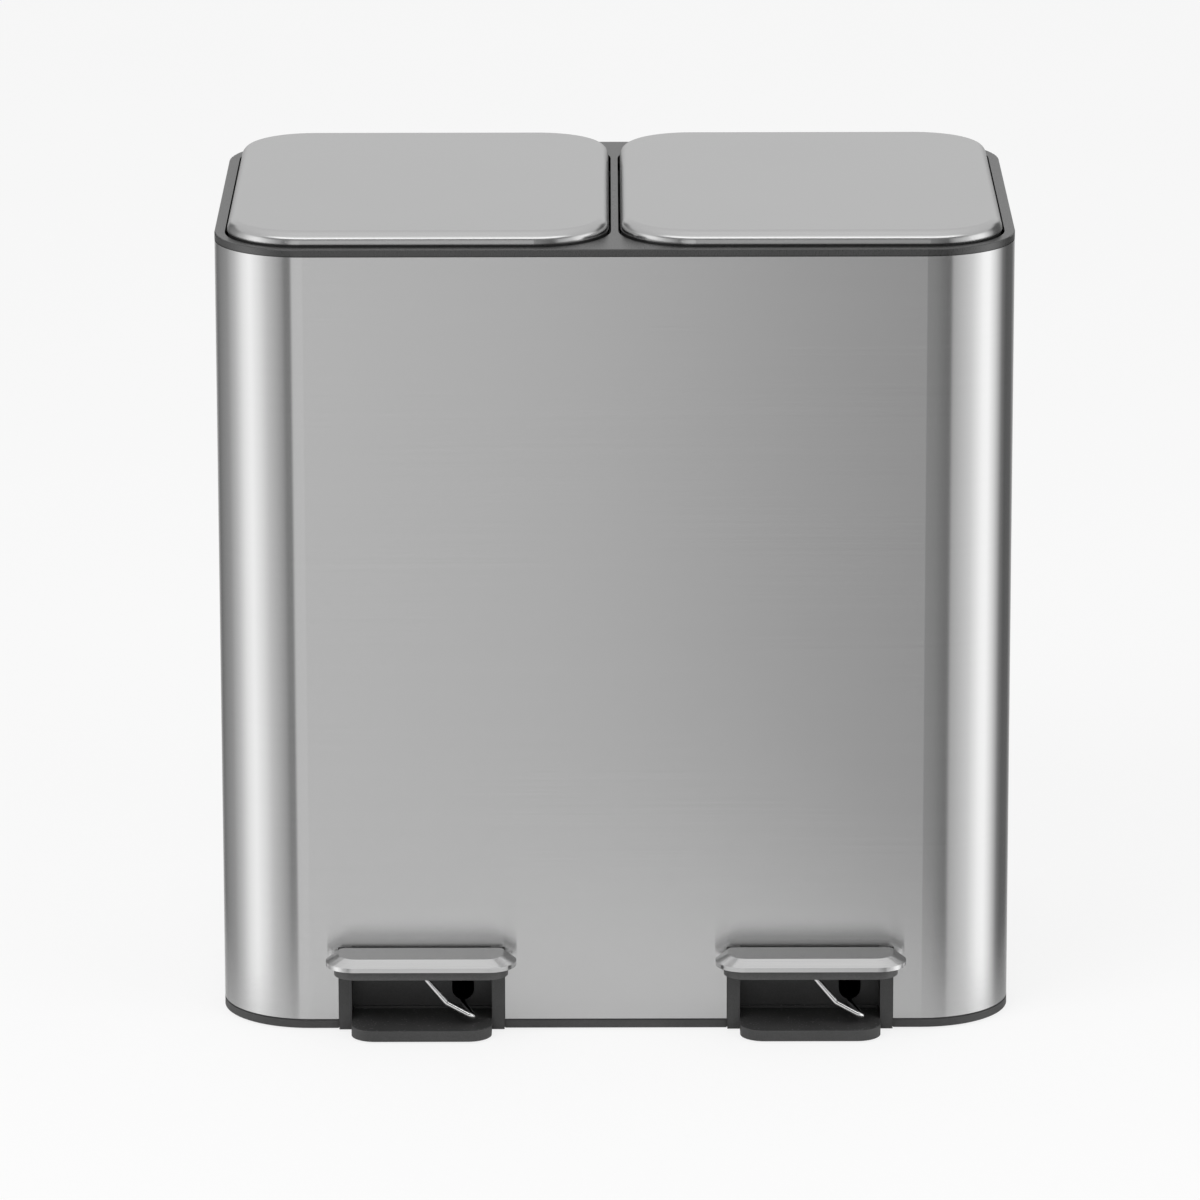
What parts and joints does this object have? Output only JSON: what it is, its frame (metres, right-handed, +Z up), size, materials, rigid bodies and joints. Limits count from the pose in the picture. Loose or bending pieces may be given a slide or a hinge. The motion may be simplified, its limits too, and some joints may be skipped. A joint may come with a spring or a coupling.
{
  "type": "double pedal recycling bin",
  "caption": "Free-standing steel recycling bin, two lids over two lift-out buckets, each lid opened by its own front pedal.",
  "frame": {"origin": "on the floor under the middle of the whole outline, pedals included", "axes": "+Z up; -Y is the front, where the pedals are; +X to the right of someone facing the front"},
  "size_m": [0.495, 0.358, 0.5095],
  "materials": {
    "brushed_steel": "brushed along the width, lacquered",
    "lid_steel": "satin",
    "tread_steel": "fine satin with bright edges",
    "wire_steel": "bright drawn wire",
    "screw_steel": "zinc plated",
    "collar_plastic": "fine moulded texture",
    "base_plastic": "fine moulded texture",
    "pedal_plastic": "fine moulded texture",
    "damper_plastic": "smooth moulded",
    "bucket_plastic": "satin moulded",
    "foot_rubber": "matt"
  },
  "bodies": {
    "root": {"body_shell": "brushed_steel", "seam_strip": "brushed_steel", "top_collar": "collar_plastic", "base_tray": "base_plastic", "inner_floor": "base_plastic", "lid_bumpers": "foot_rubber", "floor_screws": "screw_steel", "rubber_feet": "foot_rubber", "housing_screws": "screw_steel", "pedal_housing_left": "base_plastic", "crank_bearing_left": "base_plastic", "rod_duct_left": "base_plastic", "damper_cylinder_left": "damper_plastic", "inner_bucket_left": "bucket_plastic", "bucket_handle_left": "wire_steel", "hinge_pins_left": "screw_steel", "pedal_housing_right": "base_plastic", "crank_bearing_right": "base_plastic", "rod_duct_right": "base_plastic", "damper_cylinder_right": "damper_plastic", "inner_bucket_right": "bucket_plastic", "bucket_handle_right": "wire_steel", "hinge_pins_right": "screw_steel"},
    "lid_left": {"lid_skin_left": "lid_steel", "lid_liner_left": "collar_plastic", "push_pin_left": "screw_steel"},
    "push_rod_left": {"push_rod_left": "wire_steel"},
    "crank_left": {"pedal_crank_left": "wire_steel"},
    "pedal_left": {"pedal_cover_left": "tread_steel", "pedal_cap_left": "pedal_plastic"},
    "damper_left": {"damper_piston_left": "wire_steel"},
    "lid_right": {"lid_skin_right": "lid_steel", "lid_liner_right": "collar_plastic", "push_pin_right": "screw_steel"},
    "push_rod_right": {"push_rod_right": "wire_steel"},
    "crank_right": {"pedal_crank_right": "wire_steel"},
    "pedal_right": {"pedal_cover_right": "tread_steel", "pedal_cap_right": "pedal_plastic"},
    "damper_right": {"damper_piston_right": "wire_steel"}
  },
  "joints": [
    {"name": "lid_left_hinge", "type": "hinge", "parent": "root", "child": "lid_left", "pos_m": [-0.1216, 0.176, 0.4973], "axis": [-1, 0, 0], "range_deg": [0, 82]},
    {"name": "push_rod_left_pivot", "type": "hinge", "parent": "lid_left", "child": "push_rod_left", "pos_m": [-0.1216, 0.16093, 0.4842], "axis": [1, 0, 0], "range_deg": [0, 82.5]},
    {"name": "crank_left_turn", "type": "hinge", "parent": "root", "child": "crank_left", "pos_m": [-0.0961, 0, 0.0125], "axis": [0, -1, 0], "range_deg": [0, 35.2]},
    {"name": "pedal_left_press", "type": "slide", "parent": "root", "child": "pedal_left", "axis": [0, 0, -1], "range_m": [0, 0.0201]},
    {"name": "damper_left_stroke", "type": "slide", "parent": "root", "child": "damper_left", "axis": [0, 0, 1], "range_m": [0, 0.0269]},
    {"name": "lid_right_hinge", "type": "hinge", "parent": "root", "child": "lid_right", "pos_m": [0.1216, 0.176, 0.4973], "axis": [-1, 0, 0], "range_deg": [0, 82]},
    {"name": "push_rod_right_pivot", "type": "hinge", "parent": "lid_right", "child": "push_rod_right", "pos_m": [0.1216, 0.16093, 0.4842], "axis": [1, 0, 0], "range_deg": [0, 82.5]},
    {"name": "crank_right_turn", "type": "hinge", "parent": "root", "child": "crank_right", "pos_m": [0.1471, 0, 0.0125], "axis": [0, -1, 0], "range_deg": [0, 35.2]},
    {"name": "pedal_right_press", "type": "slide", "parent": "root", "child": "pedal_right", "axis": [0, 0, -1], "range_m": [0, 0.0201]},
    {"name": "damper_right_stroke", "type": "slide", "parent": "root", "child": "damper_right", "axis": [0, 0, 1], "range_m": [0, 0.0269]}
  ],
  "couplings": [
    {"joint": "push_rod_left_pivot", "follows": "lid_left_hinge", "ratio": 1},
    {"joint": "crank_left_turn", "follows": "lid_left_hinge", "ratio": 0.42683},
    {"joint": "pedal_left_press", "follows": "lid_left_hinge", "m_per_rad": 0.013933},
    {"joint": "damper_left_stroke", "follows": "lid_left_hinge", "m_per_rad": 0.018307},
    {"joint": "push_rod_right_pivot", "follows": "lid_right_hinge", "ratio": 1},
    {"joint": "crank_right_turn", "follows": "lid_right_hinge", "ratio": 0.42683},
    {"joint": "pedal_right_press", "follows": "lid_right_hinge", "m_per_rad": 0.013933},
    {"joint": "damper_right_stroke", "follows": "lid_right_hinge", "m_per_rad": 0.018307}
  ]
}
